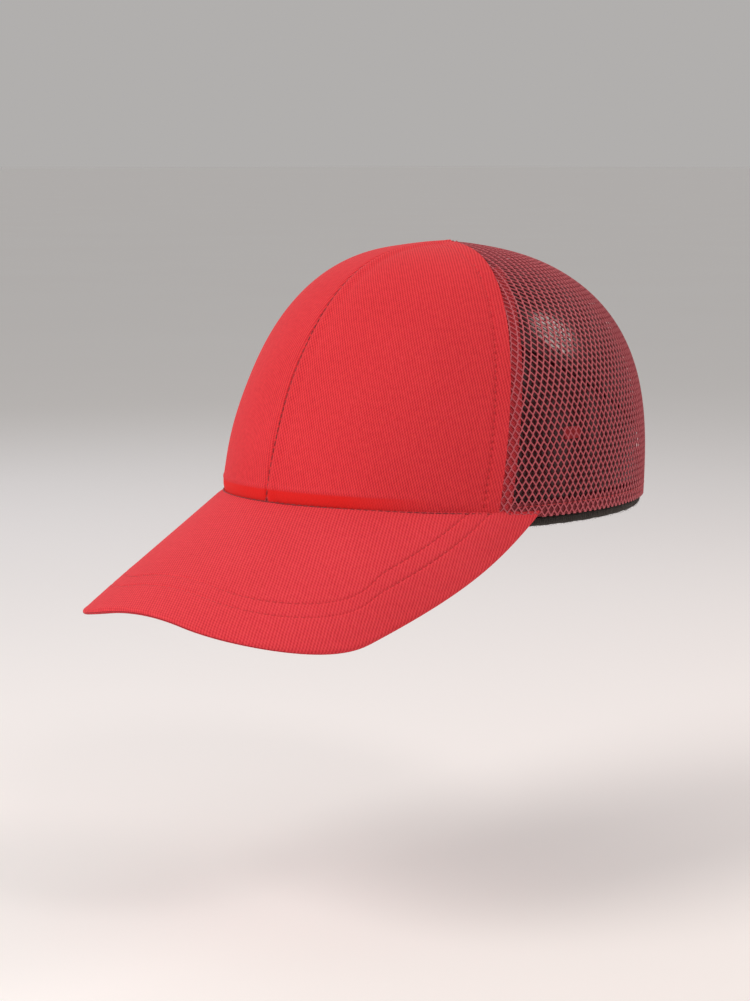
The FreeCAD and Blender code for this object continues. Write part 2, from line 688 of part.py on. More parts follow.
# ---------------------------------------------------------------- blank label
label_half = mm("label_width") / 2
node("size_label", skin("label_skin",
                        lambda across, height: strip_angle(mm("label_round"),
                                                           label_half * (2 * across - 1), 0),
                        mm("label_up") - mm("label_height") / 2, mm("label_up") + mm("label_height") / 2,
                        shell_out - mm("label"), shell_out, rows=4, columns=4))

# ---------------------------------------------------------------- check and write
doc.recompute()
for thing in doc.Objects:
    if {"Invalid", "Error"} & set(thing.State):
        raise RuntimeError("%s did not build: %s" % (thing.Name, thing.State))

os.makedirs("parts", exist_ok=True)
for name, thing in nodes.items():
    shape = thing.Shape
    if shape.isNull() or not shape.isValid() or not shape.Solids:
        raise RuntimeError("%s has no valid solid" % name)
    shape.exportStep("parts/%s.step" % name)
    print("%-20s %d solid(s) %9.0f mm3" % (name, len(shape.Solids), shape.Volume))
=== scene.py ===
"""A trucker mesh cap with a moulded safety insert, drawn to look at.

Forward is -Y, the wearer's left is +X and up is +Z. Sizes are in millimetres until
they reach a mesh, and MM turns them to metres.
"""
import math
import random

import bmesh
import bpy
import numpy as np
from mathutils import Matrix, Vector


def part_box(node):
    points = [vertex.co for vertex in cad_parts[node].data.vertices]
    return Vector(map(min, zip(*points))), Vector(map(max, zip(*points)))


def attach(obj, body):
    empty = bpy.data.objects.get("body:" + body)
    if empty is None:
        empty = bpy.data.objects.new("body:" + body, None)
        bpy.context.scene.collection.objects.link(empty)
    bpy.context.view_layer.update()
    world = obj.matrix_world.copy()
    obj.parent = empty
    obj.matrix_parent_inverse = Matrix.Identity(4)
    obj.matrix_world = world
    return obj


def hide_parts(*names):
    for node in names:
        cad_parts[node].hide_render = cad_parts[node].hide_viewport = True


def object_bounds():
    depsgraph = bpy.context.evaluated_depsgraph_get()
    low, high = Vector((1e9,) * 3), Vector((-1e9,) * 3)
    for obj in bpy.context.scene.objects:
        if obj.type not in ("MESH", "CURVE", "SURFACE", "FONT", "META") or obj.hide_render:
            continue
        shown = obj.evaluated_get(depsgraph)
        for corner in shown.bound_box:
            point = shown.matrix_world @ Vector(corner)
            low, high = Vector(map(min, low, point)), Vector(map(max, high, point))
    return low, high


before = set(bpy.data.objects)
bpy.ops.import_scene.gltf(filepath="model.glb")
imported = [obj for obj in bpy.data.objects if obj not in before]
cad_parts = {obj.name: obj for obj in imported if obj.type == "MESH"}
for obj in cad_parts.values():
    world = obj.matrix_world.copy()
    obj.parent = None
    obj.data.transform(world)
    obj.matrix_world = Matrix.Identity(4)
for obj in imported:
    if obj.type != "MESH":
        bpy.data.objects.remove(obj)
cad_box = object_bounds()
bpy.ops.object.select_all(action="DESELECT")
bpy.context.scene.view_settings.view_transform = "Standard"
MM = 0.001

# ------------------------------------------------------------------ camera, lights and floor
# The cap floats in front of the camera, turned so that its left front shows. A pale
# sweep runs under and behind it, lit by a large soft key and softer fills.

LOOK_AT = Vector((0, 0, 0.0523))
CAMERA_TURN = math.radians(45.17)
CAMERA_RISE = math.radians(4.93)
CAMERA_AWAY = 1.254
LENS = 94.66
LENS_SHIFT = (-0.0602, -0.1149)
FLOOR_BELOW = 0.13
FLOOR_SIZE = 160


def linear(hex_colour):
    """An sRGB hex colour as linear RGBA."""
    values = [int(hex_colour[i:i + 2], 16) / 255 for i in (0, 2, 4)]
    return tuple(v / 12.92 if v <= 0.04045 else ((v + 0.055) / 1.055) ** 2.4 for v in values) + (1.0,)


def seen_from(turn, rise, away):
    """Place at a turn from the front, a rise above level and a distance from the cap."""
    turn = math.radians(turn)
    rise = math.radians(rise)
    return LOOK_AT + away * Vector((math.sin(turn) * math.cos(rise), -math.cos(turn) * math.cos(rise),
                                    math.sin(rise)))


camera_place = seen_from(math.degrees(CAMERA_TURN), math.degrees(CAMERA_RISE), CAMERA_AWAY)
bpy.ops.object.camera_add(location=camera_place)
camera = bpy.context.object
camera.rotation_euler = (LOOK_AT - camera_place).to_track_quat("-Z", "Y").to_euler()
camera.data.lens = LENS
camera.data.shift_x, camera.data.shift_y = LENS_SHIFT
bpy.context.scene.camera = camera

# Each lamp's turn, rise and distance, its width in metres, its power and its colour.
for turn, rise, away, size, power, colour in (
        (-12, 36, 1.3, 0.8, 9.5, "FFF6F0"),
        (84, 44, 1.4, 0.35, 2.6, "FFF4EE"),
        (150, 35, 1.4, 0.5, 4.5, "FFE9E2"),
        (250, 35, 1.8, 1.2, 4.0, "F2F4FF")):
    place = seen_from(turn, rise, away)
    bpy.ops.object.light_add(type="AREA", location=place)
    lamp = bpy.context.object
    lamp.rotation_euler = (LOOK_AT - place).to_track_quat("-Z", "Y").to_euler()
    lamp.data.shape = "DISK"
    lamp.data.size = size
    lamp.data.energy = power
    lamp.data.color = linear(colour)[:3]

world = bpy.context.scene.world or bpy.data.worlds.new("studio")
bpy.context.scene.world = world
world.use_nodes = True
world.node_tree.nodes["Background"].inputs["Color"].default_value = linear("F1EEEC")
world.node_tree.nodes["Background"].inputs["Strength"].default_value = 0.5


def add_node(tree, kind, inputs=None, **settings):
    """A node with its settings. inputs gives its sockets a value, or another node's output."""
    made = tree.nodes.new(kind)
    for name, value in settings.items():
        setattr(made, name, value)
    for socket, value in (inputs or {}).items():
        if isinstance(value, bpy.types.NodeSocket):
            tree.links.new(value, made.inputs[socket])
        else:
            made.inputs[socket].default_value = value
    return made


def new_material(name, **shader):
    """A material and its node tree, with the shader's own sockets set."""
    material = bpy.data.materials.new(name)
    material.use_nodes = True
    tree = material.node_tree
    tree.nodes.clear()
    principled = add_node(tree, "ShaderNodeBsdfPrincipled")
    for socket, value in shader.items():
        principled.inputs[socket.replace("_", " ")].default_value = value
    add_node(tree, "ShaderNodeOutputMaterial", {"Surface": principled.outputs[0]})
    return material, tree, principled


def surface(tree, shader, share, first, second, height=None, strength=0.5, depth=0.2):
    """Colour between two shades by a share, and a relief up to a depth in millimetres."""
    tint = add_node(tree, "ShaderNodeMix", {"Factor": share, "A": linear(first), "B": linear(second)},
                    data_type="RGBA")
    tree.links.new(tint.outputs["Result"], shader.inputs["Base Color"])
    if height:
        bump = add_node(tree, "ShaderNodeBump", {"Strength": strength, "Distance": depth * MM,
                                                 "Height": height})
        tree.links.new(bump.outputs[0], shader.inputs["Normal"])


def grained_material(name, scale, detail, first, second, strength=0.5, depth=0.0, **settings):
    """A material whose colour and relief follow one even grain."""
    material, tree, shader = new_material(name, **settings)
    place = add_node(tree, "ShaderNodeTexCoord").outputs["Object"]
    grain = add_node(tree, "ShaderNodeTexNoise", {"Vector": place, "Scale": scale, "Detail": detail})
    share = grain.outputs["Fac"]
    surface(tree, shader, share, first, second, share if depth else None, strength, depth)
    return material


# A painted paper sweep, matte and almost even.
paper = grained_material("painted_paper_sweep", 1.5, 3.0, "FBF9F8", "FEFDFC", Roughness=0.9)
bpy.ops.mesh.primitive_plane_add(size=FLOOR_SIZE, location=(0, 0, cad_box[0].z - FLOOR_BELOW))
floor = bpy.context.object
floor.name = "floor"
floor.data.materials.append(paper)

# ------------------------------------------------------------------ front panels
# Two panels of cotton twill over a thin backing make the crown's front. They are sewn
# together at the centre, and each side edge is folded under and topstitched.

CROWN_LENGTH = 108.5
CROWN_WIDTH = 92.0
CROWN_HEIGHT = 120.0
SETBACK = 8.5
VISOR_RISE = 6.3
TWILL = 0.8
TUCK = 6.2
FOLD = 6.7
STITCH_PITCH = 3.2

# The crown's section: powers of its height and of its reach, at the front and behind.
FRONT_RISE, BACK_RISE = 1.7, 3.1
FRONT_REACH, BACK_REACH = 3.0, 1.87
SEAM_ANGLE = 65.7
SEAM_LEAN = 7.3
PEAK = 0.9
PEAK_SPREAD = 14.0
crown_middle = Vector((0, 0, 0.05))


def crown_reach(around, share):
    """Plan size of the crown at a share of its height."""
    rearness = (1 - math.cos(math.radians(around))) / 2
    rise = FRONT_RISE + (BACK_RISE - FRONT_RISE) * rearness
    reach = FRONT_REACH + (BACK_REACH - FRONT_REACH) * rearness
    return (1 - min(max(share, 0.0), 1.0) ** rise) ** (1 / reach)


def crown_point(around, height, inset=0.0):
    """Point of the crown at an angle round from the front, a height and an inset."""
    reach = crown_reach(around, height / (CROWN_HEIGHT - inset))
    side = (CROWN_WIDTH - inset) * math.sin(math.radians(around)) * reach
    ahead = (CROWN_LENGTH - inset) * math.cos(math.radians(around)) * reach
    return Vector((side, SETBACK * height / CROWN_HEIGHT - ahead, height))


def side_seam(height):
    """Angle of the side seam, which leans back as it rises."""
    return SEAM_ANGLE + SEAM_LEAN * height / CROWN_HEIGHT


def around_length(around, height):
    """Distance round the crown from the front to an angle, at a height."""
    size = (CROWN_LENGTH + CROWN_WIDTH) / 2
    return math.radians(around) * size * crown_reach(around, height / CROWN_HEIGHT)


def bump_at(distance, middle, half_width, lift):
    """Soft ridge or groove across a distance."""
    return lift * math.exp(-((distance - middle) / half_width) ** 2)


def peak(point):
    """The small soft peak where the panels meet at the top."""
    return PEAK * math.exp(-((point.x ** 2 + (point.y - SETBACK) ** 2) / PEAK_SPREAD ** 2))


def new_piece(name, mesh):
    """A piece in the scene with a finished mesh."""
    piece = bpy.data.objects.new(name, mesh)
    bpy.context.collection.objects.link(piece)
    return piece


def sheet_mesh(name, across, up, place, away_from=None, wrap=False):
    """Mesh of quads from place(i, k), which gives a point, its UV, its lift and its share of painted light.

    Each point moves along its normal by its lift. Faces point away from away_from, or
    towards the outside of a closed tube with wrap.
    """
    shape = bmesh.new()
    lifts = shape.verts.layers.float.new("lift")
    shades = shape.verts.layers.float.new("painted_bounce")
    weave = shape.loops.layers.uv.new("weave")
    grid = []
    places = []
    for i in range(across + 1):
        line = []
        for k in range(up + (0 if wrap else 1)):
            point, uv, lift, painted_bounce = place(i, k)
            vert = shape.verts.new(point * MM)
            vert[lifts] = lift * MM
            vert[shades] = painted_bounce
            line.append(vert)
            places.append(uv)
        grid.append(line)
    rows = len(grid[0])
    for i in range(across):
        for k in range(up):
            nearby = ((i, k), (i + 1, k), (i + 1, k + 1), (i, k + 1))
            face = shape.faces.new([grid[a][b % rows] for a, b in nearby])
            for loop, (a, b) in zip(face.loops, nearby):
                u, v = place(a, b)[1] if b >= rows else places[a * rows + b]
                loop[weave].uv = (u * MM, v * MM)
    if wrap:
        for line in (grid[0], grid[-1]):
            shape.faces.new(line)
    bmesh.ops.remove_doubles(shape, verts=shape.verts, dist=1e-6)
    bmesh.ops.recalc_face_normals(shape, faces=shape.faces)
    if away_from is not None:
        outward = sum((face.calc_center_median() - away_from).dot(face.normal) * face.calc_area()
                      for face in shape.faces)
        if outward < 0:
            bmesh.ops.reverse_faces(shape, faces=shape.faces)
    shape.normal_update()
    moves = [(vert, vert.normal * vert[lifts]) for vert in shape.verts]
    for vert, move in moves:
        vert.co += move
    mesh = bpy.data.meshes.new(name)
    shape.to_mesh(mesh)
    shape.free()
    return new_piece(name, mesh)


def select_alone(piece):
    """Selects one piece and nothing else, and makes it the active one."""
    bpy.ops.object.select_all(action="DESELECT")
    bpy.context.view_layer.objects.active = piece
    piece.select_set(True)


def apply_modifier(piece, kind, **settings):
    """Adds a modifier with its settings and applies it."""
    modifier = piece.modifiers.new(kind.lower(), kind)
    for name, value in settings.items():
        setattr(modifier, name, value)
    select_alone(piece)
    bpy.ops.object.modifier_apply(modifier=modifier.name)
    piece.select_set(False)


def finish(piece, body, material, thick=0.0):
    """Gives a piece its thickness, material, smooth shading and body."""
    if thick:
        apply_modifier(piece, "SOLIDIFY", thickness=thick * MM, offset=-1)
    piece.data.materials.append(material)
    select_alone(piece)
    bpy.ops.object.shade_smooth_by_angle(angle=math.radians(50))
    piece.select_set(False)
    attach(piece, body)
    return piece


def weave_coordinates(tree, turn=0.0):
    """The piece's own UV map, in metres of cloth, turned by an angle."""
    uv = add_node(tree, "ShaderNodeUVMap", uv_map="weave")
    return add_node(tree, "ShaderNodeMapping", {"Vector": uv.outputs[0],
                                                "Rotation": (0, 0, math.radians(turn))}).outputs[0]


def bands(tree, coordinates, pitch, direction="X", waver=0.0):
    """Soft bands a pitch apart, in millimetres: the wave node turns 20 radians per unit."""
    return add_node(tree, "ShaderNodeTexWave", {
        "Vector": coordinates, "Scale": 2 * math.pi / 20 / (pitch * MM), "Distortion": waver,
        "Detail": 1.0, "Detail Scale": 0.6}, bands_direction=direction).outputs["Fac"]


def twill_material(name, lean, pitch, bright, mid, deep, tucked):
    """Cotton twill: fine diagonal ribs of matte yarn, with a dull sheen at grazing angles.

    The ribs are drawn over 1 mm apart, as coarse as they need to be to show. Floats that
    cross them, and slubs in the yarn, break them up. tucked is a colour mixed in by a per-point
    share: painted light reflected from the visor, and painted shade, on the tucked band.
    """
    material, tree, shader = new_material(name, Roughness=0.86, Sheen_Weight=0.07, Sheen_Roughness=0.5,
                                          Sheen_Tint=linear("FF9C98"), Specular_IOR_Level=0.2)
    slub = add_node(tree, "ShaderNodeTexNoise", {"Vector": weave_coordinates(tree), "Scale": 420.0,
                                                 "Detail": 2.0})
    ribs = bands(tree, weave_coordinates(tree, lean), pitch, waver=1.4)
    floats = bands(tree, weave_coordinates(tree, lean + 62), 0.9 * pitch, waver=1.6)
    yarn = add_node(tree, "ShaderNodeMath", {0: floats, 1: 0.45, 2: ribs}, operation="MULTIPLY_ADD")
    uneven = add_node(tree, "ShaderNodeMath", {0: slub.outputs["Fac"], 1: 0.7, 2: yarn.outputs[0]},
                      operation="MULTIPLY_ADD")
    height = add_node(tree, "ShaderNodeMath", {0: uneven.outputs[0], 1: 1 / 2.15}, operation="MULTIPLY")
    cotton = add_node(tree, "ShaderNodeTexNoise", {"Vector": weave_coordinates(tree), "Scale": 900.0,
                                                   "Detail": 2.0})
    wash = add_node(tree, "ShaderNodeTexNoise", {"Vector": weave_coordinates(tree), "Scale": 22.0,
                                                 "Detail": 3.0})
    # The ramp colours the cloth by its relief height, darker in the grooves between ribs and in thin spots of
    # yarn: painted shade.
    ramp = add_node(tree, "ShaderNodeValToRGB", {"Fac": height.outputs[0]})
    ramp.color_ramp.elements[0].color = linear(deep)
    ramp.color_ramp.elements[1].color = linear(bright)
    ramp.color_ramp.elements.new(0.5).color = linear(mid)
    fleck = add_node(tree, "ShaderNodeMix", {"Factor": 0.16, "A": ramp.outputs[0],
                                             "B": cotton.outputs["Color"]},
                     data_type="RGBA", blend_type="SOFT_LIGHT")
    washed = add_node(tree, "ShaderNodeMix", {"Factor": 0.14, "A": fleck.outputs["Result"],
                                              "B": wash.outputs["Fac"]},
                      data_type="RGBA", blend_type="OVERLAY")
    # Painted light: a per-point share mixes in the tucked colour, standing for light reflected from the visor
    # and for shade.
    painted_bounce = add_node(tree, "ShaderNodeAttribute", attribute_name="painted_bounce")
    painted_bounce_mix = add_node(tree, "ShaderNodeMix", {"Factor": painted_bounce.outputs["Fac"], "A": washed.outputs["Result"],
                                            "B": linear(tucked)}, data_type="RGBA")
    tree.links.new(painted_bounce_mix.outputs["Result"], shader.inputs["Base Color"])
    bump = add_node(tree, "ShaderNodeBump", {"Strength": 0.5, "Distance": 0.00025,
                                             "Height": height.outputs[0]})
    fuzz = add_node(tree, "ShaderNodeBump", {"Strength": 0.25, "Distance": 0.0002,
                                             "Height": cotton.outputs["Fac"], "Normal": bump.outputs[0]})
    tree.links.new(fuzz.outputs[0], shader.inputs["Normal"])
    return material


# Its last colour is painted light: reflection of the visor, and shade, on the tucked band at the front.
crown_twill = twill_material("cotton_twill_crown", -14, 1.15, "F0484C", "D8333B", "A91B27", "DC201E")

# Soft ridges and grooves beside the seams: distance, half width and lift.
CENTRE_GROOVE = (0, 0.9, -0.8)
RIDGE_PLACE = (3.2, 2.2)
DIP_PLACE = (8.0, 2.0)
TOPSTITCH_GROOVE = (FOLD, 1.0, -0.36)
TOPSTITCH_PUCKER = (FOLD, 1.4, -0.42)
FOLD_LIFT = 0.3
TUCK_DEPTH = 1.3
TUCK_ROLL = 0.35
CALM_WAVE = 0.3

# Rows of points stand close in the tucked lower edge and towards the flat top.
PANEL_COLUMNS = 120
TUCK_ROWS = 18
WALL_ROWS = 92
TOP_ROWS = 42
TUCK_ZONE = 10.0
TOP_ZONE = 16.0
PANEL_TURN = 36.0
wall_heights = np.linspace(0, CROWN_HEIGHT - 0.01, 300)


def lengths_along(points):
    """Distance from the first point to each point, along a line of them."""
    return np.concatenate([[0], np.cumsum([(b - a).length for a, b in zip(points, points[1:])])])


wall_lengths = lengths_along([crown_point(PANEL_TURN, height) for height in wall_heights])


def panel_height(around, row):
    """Height of a row of the front panel, from its lower edge on the visor to the top."""
    low = VISOR_RISE * math.cos(math.radians(around))
    if row <= TUCK_ROWS:
        return low + TUCK_ZONE * row / TUCK_ROWS
    shoulder = CROWN_HEIGHT - TOP_ZONE
    if row <= TUCK_ROWS + WALL_ROWS:
        return low + TUCK_ZONE + (shoulder - low - TUCK_ZONE) * (row - TUCK_ROWS) / WALL_ROWS
    return shoulder + TOP_ZONE * (1 - (1 - (row - TUCK_ROWS - WALL_ROWS) / TOP_ROWS) ** 3)


def cloth_place(point, height):
    """Where a point lies on the left panel's flat cloth: level, and up from the rim."""
    turn = math.radians(PANEL_TURN)
    level = point.x * math.cos(turn) + point.y * math.sin(turn)
    return level, float(np.interp(height, wall_heights, wall_lengths))


def front_panel(side):
    """One front panel. side is 1 on the wearer's left and -1 on the right."""
    up = TUCK_ROWS + WALL_ROWS + TOP_ROWS
    ridge, dip = (0.55, -0.2) if side > 0 else (0.08, 0.0)

    def place(i, k):
        # Columns of points crowd towards the two sewn edges.
        share = 0.5 - 0.5 * math.cos(math.pi * i / PANEL_COLUMNS)
        share = 0.5 * share + 0.5 * i / PANEL_COLUMNS
        height = panel_height(33 * share, k)
        around = share * side_seam(height)
        height = panel_height(around, k)
        point = crown_point(around, height)
        level, climb = cloth_place(point, height)
        from_centre = around_length(around, height)
        from_side = around_length(side_seam(height), height) - from_centre
        above_visor = height - VISOR_RISE * math.cos(math.radians(around))
        lift = bump_at(from_centre, *CENTRE_GROOVE)
        lift += bump_at(from_centre, *RIDGE_PLACE, ridge) + bump_at(from_centre, *DIP_PLACE, dip)
        lift += bump_at(from_side, *TOPSTITCH_GROOVE)
        lift += bump_at(from_side, *TOPSTITCH_PUCKER) * math.cos(2 * math.pi * climb / STITCH_PITCH)
        lift += FOLD_LIFT * max(0.0, 1 - from_side / FOLD)
        forwardness = min(1.0, max(0.0, (50 - around) / 24)) if side > 0 else 1.0
        tucked = max(0.0, 1 - above_visor / TUCK)
        lift += bump_at(above_visor, TUCK + 0.7, 1.0, TUCK_ROLL * forwardness) - TUCK_DEPTH * tucked ** 2
        lift += peak(point)
        calm = min(1.0, height / 20) * min(1.0, from_side / 15)
        wave = math.sin(from_centre / 11.0 + height / 17.0 + side) * math.sin(height / 13.0)
        lift += CALM_WAVE * calm * wave
        point.x *= side
        # Painted light: the tucked band low at the front takes a smooth saturated red, a painted reflection
        # of the visor plus painted shade, fading towards the left panel's side seam.
        painted_bounce = min(1.0, max(0.0, (TUCK - above_visor) / 0.8)) * forwardness
        return point, (side * level, climb), lift, painted_bounce

    word = "left" if side > 0 else "right"
    piece = sheet_mesh("twill_front_" + word, PANEL_COLUMNS, up, place, crown_middle)
    finish(piece, "cap", crown_twill, TWILL)
    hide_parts("front_panel_" + word)
    return piece


front_panel(1)
front_panel(-1)

# ------------------------------------------------------------------ visor
# A curved plastic board is covered above and below in the crown's twill; the cover below is a
# darker copy of it, painted shade. The two covers are sewn together round its edge, and two rows
# of stitches follow the edge.

DROOP = math.radians(30)
VISOR_ARCH = CROWN_LENGTH * math.tan(DROOP) + VISOR_RISE
VISOR_REACH = 179.5
VISOR_HALF_WIDTH = 90.5
FRONT_RADIUS = 390.0
CORNER_RADIUS = 65.0
SIDE_RADIUS = 560.0
SIDE_MIDDLE = 47.0
BACK_LINE = 22.0
EDGE_ROUND = 1.8
STITCH_ROWS = (18.0, 25.5)
VISOR_THICK = 3.6
COVER = 0.6
INNER_LINES = 14

# Distance across the bent board, from its middle to each turn round its arch.
arch_turns = np.radians(np.linspace(0, 89.9, 900))
arch_steps = np.hypot(CROWN_WIDTH * np.cos(arch_turns), VISOR_ARCH * math.cos(DROOP) * np.sin(arch_turns))
arch_steps = (arch_steps[1:] + arch_steps[:-1]) / 2 * np.diff(arch_turns)
arch_lengths = np.concatenate([[0], np.cumsum(arch_steps)])


def unrolled(side, ahead):
    """Where a place of the visor's plan lies on the flat board: across and along."""
    turn = math.asin(side / CROWN_WIDTH)
    across = math.copysign(np.interp(abs(turn), arch_turns, arch_lengths), turn)
    return Vector((across, ahead / math.cos(DROOP) - VISOR_ARCH * math.sin(DROOP) * math.cos(turn)))


def board_plan(flat):
    """Turn round the arch, and distance ahead, of a place on the flat board."""
    turn = math.copysign(np.interp(abs(flat.x), arch_lengths, arch_turns), flat.x)
    return turn, math.cos(DROOP) * (flat.y + VISOR_ARCH * math.sin(DROOP) * math.cos(turn))


def visor_point(flat, depth):
    """Point a depth below the visor's upper surface, square under a place on the flat board."""
    turn, ahead = board_plan(flat)
    ahead -= depth * math.sin(DROOP) * math.cos(DROOP) * math.cos(turn)
    height = (VISOR_ARCH - depth) * math.cos(turn) - ahead * math.tan(DROOP)
    return Vector(((CROWN_WIDTH - depth) * math.sin(turn), -ahead, height))


def visor_outline(steps):
    """Plan of the visor's edge from the right back corner round the front to the left."""
    front = Vector((0, FRONT_RADIUS - VISOR_REACH))
    side = Vector((VISOR_HALF_WIDTH - SIDE_RADIUS, -SIDE_MIDDLE))
    near = FRONT_RADIUS - CORNER_RADIUS
    far = SIDE_RADIUS - CORNER_RADIUS
    apart = side - front
    along = (near ** 2 - far ** 2 + apart.length ** 2) / (2 * apart.length)
    line = apart.normalized()
    corner = front + line * along + Vector((-line.y, line.x)) * math.sqrt(near ** 2 - along ** 2)
    turns = [-math.pi / 2, math.atan2(*(corner - front).yx), math.atan2(*(corner - side).yx),
             math.asin((SIDE_MIDDLE - BACK_LINE) / SIDE_RADIUS)]
    left = []
    for middle, radius, start, end in ((front, FRONT_RADIUS, turns[0], turns[1]),
                                       (corner, CORNER_RADIUS, turns[1], turns[2]),
                                       (side, SIDE_RADIUS, turns[2], turns[3])):
        for step in range(1, steps + 1):
            angle = start + (end - start) * step / steps
            left.append(middle + radius * Vector((math.cos(angle), math.sin(angle))))
    right = [Vector((-point.x, point.y)) for point in reversed(left)]
    return right + [Vector((0, -VISOR_REACH))] + left


def rim_share(start, end):
    """Share of the way from the edge to the hub at which the crown's inner side is met."""
    low = 0.0
    high = 1.0
    for _ in range(30):
        share = (low + high) / 2
        turn, ahead = board_plan(start.lerp(end, share))
        side = CROWN_WIDTH * math.sin(turn)
        outside = math.hypot(side / (CROWN_WIDTH - 1), ahead / (CROWN_LENGTH - 1)) > 1
        low = share if outside else low
        high = high if outside else share
    return low


edge = [unrolled(point.x, -point.y) for point in visor_outline(28)]
hub = unrolled(0, BACK_LINE)
rim_shares = [rim_share(point, hub) for point in edge]


def inside_edge(i, distance):
    """Place on the flat board a distance inside the edge, on the line from edge point i to the hub."""
    before = edge[max(i - 1, 0)]
    after = edge[min(i + 1, len(edge) - 1)]
    square = Vector((-(after - before).y, (after - before).x)).normalized()
    ray = hub - edge[i]
    slant = max(abs(ray.normalized().dot(square)), 0.5)
    return edge[i].lerp(hub, min(distance / slant / ray.length, rim_shares[i]))


# Distances inside the edge, close together where the stitch rows pull the cloth in.
edge_turns = [math.radians(angle) for angle in (-14, 0, 20, 40, 60, 90)]
cover_lines = [3.0, 4.0, 5.0, 7.0, 9.5, 12.0, 14.5]
for row in STITCH_ROWS:
    cover_lines += [row - 1.6, row - 0.8, row - 0.35, row, row + 0.35, row + 0.8, row + 1.6]
cover_lines += [21.5, 30.0]
cover_lines.sort()


def visor_cover(name, node, upper, material):
    """Twill cover of the visor, over its board or under it, turned in round the edge."""

    def place(i, k):
        if k < len(edge_turns):
            distance = EDGE_ROUND * (1 - math.cos(edge_turns[k]))
            depth = EDGE_ROUND * (1 - math.sin(edge_turns[k]))
        else:
            distance = cover_lines[min(k - len(edge_turns), len(cover_lines) - 1)]
            depth = 0.0
        flat = inside_edge(i, distance)
        inner = k - len(edge_turns) - len(cover_lines) + 1
        if inner > 0:
            flat = flat.lerp(edge[i].lerp(hub, rim_shares[i]), inner / INNER_LINES)
        lift = 0.0
        if inner <= 0:
            lift = sum(bump_at(distance, row, 0.55, -0.42) + bump_at(distance, row, 2.6, 0.12)
                       for row in STITCH_ROWS)
        lift += bump_at(distance, 4.4, 0.9, -0.12) if depth == 0 and inner <= 0 else 0.0
        lift += 0.16 * math.sin(flat.x / 13 + 1) * math.sin(flat.y / 17) if distance > 8 else 0.0
        to_rim = (edge[i].lerp(hub, rim_shares[i]) - flat).length
        lift += bump_at(to_rim, 0.0, 2.2, -0.5)
        return visor_point(flat, depth if upper else VISOR_THICK - depth), (flat.x, flat.y), lift, 0.0

    below = Vector((0, -0.06, -0.2)) if upper else Vector((0, -0.06, 0.3))
    rows = len(edge_turns) + len(cover_lines) + INNER_LINES - 1
    piece = sheet_mesh(name, len(edge) - 1, rows, place, below)
    finish(piece, "cap", material, COVER)
    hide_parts(node)
    return piece


visor_twill = twill_material("cotton_twill_visor", 27, 1.4, "F04E55", "DC3A43", "B4222D", "DE2320")
# The cover below is the same twill drawn darker: painted shade of the visor's underside.
shaded_under_twill = twill_material("cotton_twill_visor_under_painted_shade", 27, 1.5, "B02730", "9C1E28", "7C141D", "9C1E28")
visor_cover("visor_cover_over", "visor_cover_top", True, visor_twill)
visor_cover("visor_cover_below", "visor_cover_under", False, shaded_under_twill)

# The board is moulded polyethylene, off-white and finely speckled.
board_plastic, tree, shader = new_material("moulded_board_polyethylene", Roughness=0.5, IOR=1.51)
board_noise = add_node(tree, "ShaderNodeTexNoise", {"Scale": 700.0})
board_tint = add_node(tree, "ShaderNodeMix", {"Factor": board_noise.outputs["Fac"], "A": linear("DAD8D0"),
                                              "B": linear("E4E2DB")}, data_type="RGBA")
tree.links.new(board_tint.outputs["Result"], shader.inputs["Base Color"])
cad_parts["visor_board"].material_slots[0].material = board_plastic

# ------------------------------------------------------------------ sewing thread
# Every seam is sewn with spun polyester thread in the cap's own red, about 3 mm to a
# stitch. Each stitch is a short lozenge of thread, sunk at both ends into the cloth. A darker copy
# of the thread is painted shade, on the centre seam, under the visor and along the visor joint.

THREAD = 0.42


def thread_material(name, bright, deep):
    """Spun polyester thread: two plies twisted together, with a soft shine."""
    return grained_material(name, 2500.0, 1.0, deep, bright, 0.4, 0.1, Roughness=0.6, Sheen_Weight=0.2,
                            Sheen_Roughness=0.4)


red_thread = thread_material("polyester_thread", "D9353B", "A81F2A")
# A darker copy of the same thread: painted shade.
shaded_thread = thread_material("polyester_thread_painted_shade", "8E1620", "6A0F18")

bpy.ops.mesh.primitive_uv_sphere_add(segments=6, ring_count=5, radius=0.5)
stitch_form = bpy.context.object
stitch_points = [vert.co.copy() for vert in stitch_form.data.vertices]
stitch_faces = [tuple(face.vertices) for face in stitch_form.data.polygons]
bpy.data.objects.remove(stitch_form)


def sewn_row(name, path, body, material, slot, length=2.5, width=THREAD):
    """Stitches along a path of (point, outward normal) pairs, given in millimetres."""
    points = []
    faces = []
    walked = 0.0
    for (here, out), (there, _) in zip(path, path[1:]):
        step = (there - here).length
        while walked < step:
            along = (there - here).normalized()
            across = out.cross(along).normalized()
            turn = Matrix((along * length, across * width, out.normalized() * width * 0.8)).transposed()
            spot = here + along * walked
            first = len(points)
            points += [(turn @ point + spot) * MM for point in stitch_points]
            faces += [tuple(first + index for index in face) for face in stitch_faces]
            walked += STITCH_PITCH
        walked -= step
    mesh = bpy.data.meshes.new(name)
    mesh.from_pydata(points, [], faces)
    return finish(new_piece(name, mesh), body, material)


def visor_row(name, distance, depth, lift, material):
    """Row of stitches a distance inside the visor's edge."""
    path = []
    for i in range(len(edge)):
        flat = inside_edge(i, distance)
        if (edge[i] - hub).length * rim_shares[i] < distance + 1.5:
            continue
        here = visor_point(flat, depth)
        out = (here - visor_point(flat, depth + 1)) * lift
        path.append((here + out.normalized() * -0.32, out.normalized()))
    return sewn_row(name, path, "cap", material, "twill")


for number, distance in enumerate(STITCH_ROWS, start=1):
    visor_row("visor_stitches_%d" % number, distance, 0.0, 1, red_thread)
    visor_row("visor_stitches_under_%d" % number, distance, VISOR_THICK, -1, shaded_thread)


